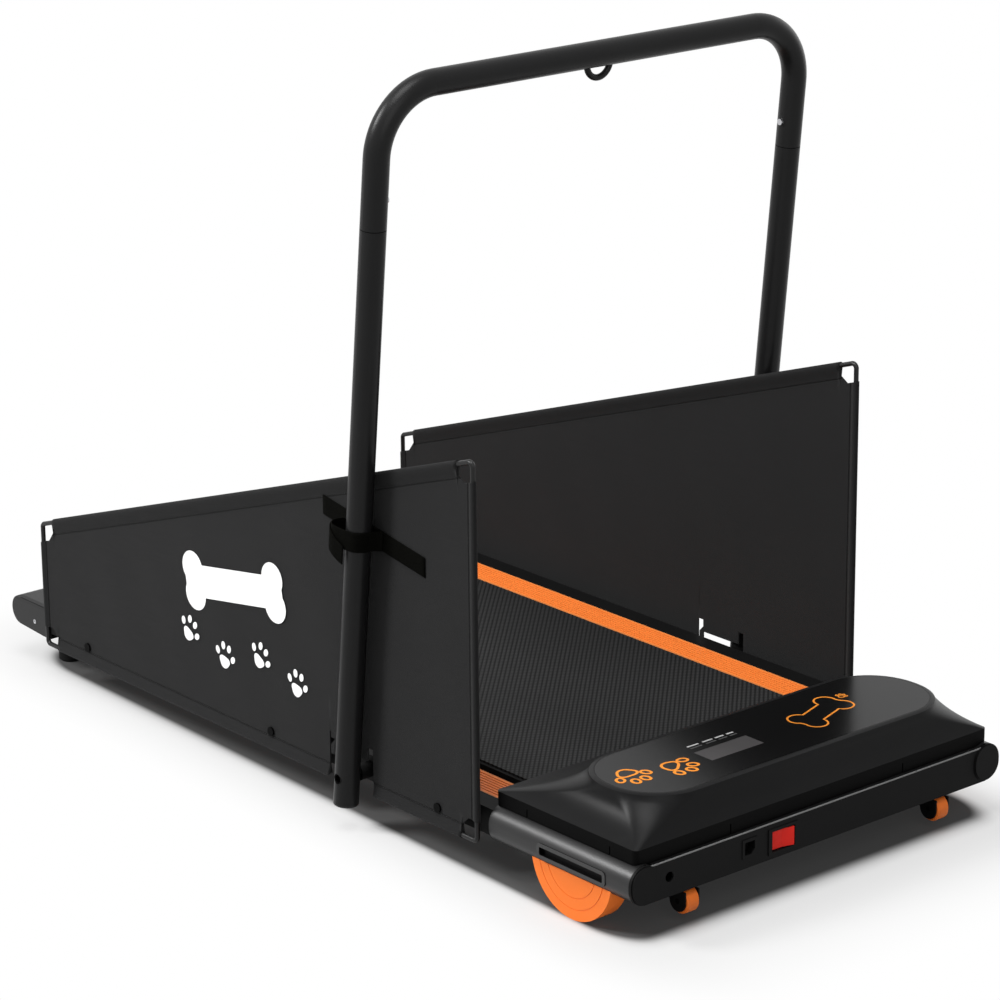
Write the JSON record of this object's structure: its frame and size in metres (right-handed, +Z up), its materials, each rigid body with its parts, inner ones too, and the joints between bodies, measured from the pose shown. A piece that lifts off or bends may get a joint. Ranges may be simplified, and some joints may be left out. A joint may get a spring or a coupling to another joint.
{
  "type": "dog treadmill",
  "caption": "Low motorised belt treadmill for a dog, with fabric side guards on bent wire, ribbed side rails, a flared motor hood with console, rocker feet and a fold-back tube handle.",
  "frame": {"origin": "on the floor under the middle of the overall box", "axes": "+X across the belt, to the right seen from the motor end; +Y along the belt from the motor end to the rear; +Z up"},
  "size_m": [0.6154, 1.132, 0.8343],
  "materials": {
    "frame_black": "satin powder coat",
    "shell_black": "fine satin mould texture",
    "console_black": "satin overlay film",
    "display_grey": "clear window over a dark display",
    "rail_orange": "satin, ribbed",
    "foot_orange": "satin",
    "belt_rubber": "fine woven texture",
    "black_rubber": "matt",
    "deck_board": "black laminate",
    "steel": "bright",
    "screw_black": "black oxide",
    "motor_black": "satin",
    "board_green": "circuit board",
    "guard_fabric": "coated cloth",
    "strap_webbing": "webbing",
    "key_red": "satin"
  },
  "bodies": {
    "base": {"left_beam": "frame_black", "right_beam": "frame_black", "crossbars": "frame_black", "deck_board": "deck_board", "deck_cushions": "black_rubber", "running_belt": "belt_rubber", "left_rail": "rail_orange", "right_rail": "rail_orange", "roller_bearings": "steel", "tension_bolts": "steel", "left_rear_cap": "shell_black", "right_rear_cap": "shell_black", "rear_cap_screws": "steel", "rear_feet": "black_rubber", "left_tube_cover": "shell_black", "right_tube_cover": "shell_black", "tube_end_caps": "shell_black", "left_rocker_foot": "foot_orange", "right_rocker_foot": "foot_orange", "recess_bezels": "shell_black", "front_panel": "shell_black", "belly_pan": "shell_black", "wheel_brackets": "frame_black", "wheel_axles": "steel", "motor": "motor_black", "motor_bracket": "steel", "drive_belt": "black_rubber", "controller_board": "board_green", "cover_trim": "shell_black", "motor_cover": "shell_black", "console_panel": "console_black", "display_window": "display_grey", "switch_housing": "shell_black", "port_socket": "shell_black", "left_guard_wire": "frame_black", "right_guard_wire": "frame_black", "left_guard_cover": "guard_fabric", "right_guard_cover": "guard_fabric", "guard_screws": "screw_black", "guard_spacers": "shell_black", "strap_tails": "strap_webbing", "pivot_spacers": "frame_black", "pivot_bolts": "frame_black"},
    "handle": {"left_post": "frame_black", "right_post": "frame_black", "upper_handle": "frame_black", "handle_sleeves": "steel", "post_plugs": "shell_black", "leash_loop": "frame_black", "strap_loops": "strap_webbing"},
    "front_roller": {"front_roller": "steel", "roller_pulley": "shell_black"},
    "rear_roller": {"rear_roller": "steel"},
    "motor_rotor": {"motor_shaft": "steel"},
    "rocker": {"rocker_key": "key_red"},
    "left_wheel": {"left_wheel": "foot_orange"},
    "right_wheel": {"right_wheel": "foot_orange"},
    "left_button": {"left_snap_button": "steel"},
    "right_button": {"right_snap_button": "steel"}
  },
  "joints": [
    {"name": "handle_fold", "type": "hinge", "parent": "base", "child": "handle", "pos_m": [0, -0.1373, 0.0625], "axis": [-1, 0, 0], "range_deg": [0, 96]},
    {"name": "front_roller_spin", "type": "hinge", "parent": "base", "child": "front_roller", "pos_m": [0, -0.4, 0.0667], "axis": [1, 0, 0], "continuous": true},
    {"name": "rear_roller_spin", "type": "hinge", "parent": "base", "child": "rear_roller", "pos_m": [0, 0.53, 0.0667], "axis": [1, 0, 0], "continuous": true},
    {"name": "motor_spin", "type": "hinge", "parent": "base", "child": "motor_rotor", "pos_m": [0, -0.488, 0.084], "axis": [1, 0, 0], "continuous": true},
    {"name": "rocker_tilt", "type": "hinge", "parent": "base", "child": "rocker", "pos_m": [-0.0562, -0.5569, 0.0602], "axis": [0, 0, 1], "range_deg": [0, 16]},
    {"name": "left_wheel_spin", "type": "hinge", "parent": "base", "child": "left_wheel", "pos_m": [-0.18274, -0.5515, 0.0258], "axis": [1, 0, 0], "continuous": true},
    {"name": "right_wheel_spin", "type": "hinge", "parent": "base", "child": "right_wheel", "pos_m": [0.18274, -0.5515, 0.0258], "axis": [1, 0, 0], "continuous": true},
    {"name": "left_button_press", "type": "slide", "parent": "handle", "child": "left_button", "axis": [-1, 0, 0], "range_m": [0, 0.0025], "stiffness_N_per_m": 800, "springref_m": -0.002},
    {"name": "right_button_press", "type": "slide", "parent": "handle", "child": "right_button", "axis": [1, 0, 0], "range_m": [0, 0.0025], "stiffness_N_per_m": 800, "springref_m": -0.002}
  ],
  "couplings": [
    {"joint": "rear_roller_spin", "follows": "front_roller_spin", "ratio": 1},
    {"joint": "motor_spin", "follows": "front_roller_spin", "ratio": 1.859}
  ]
}
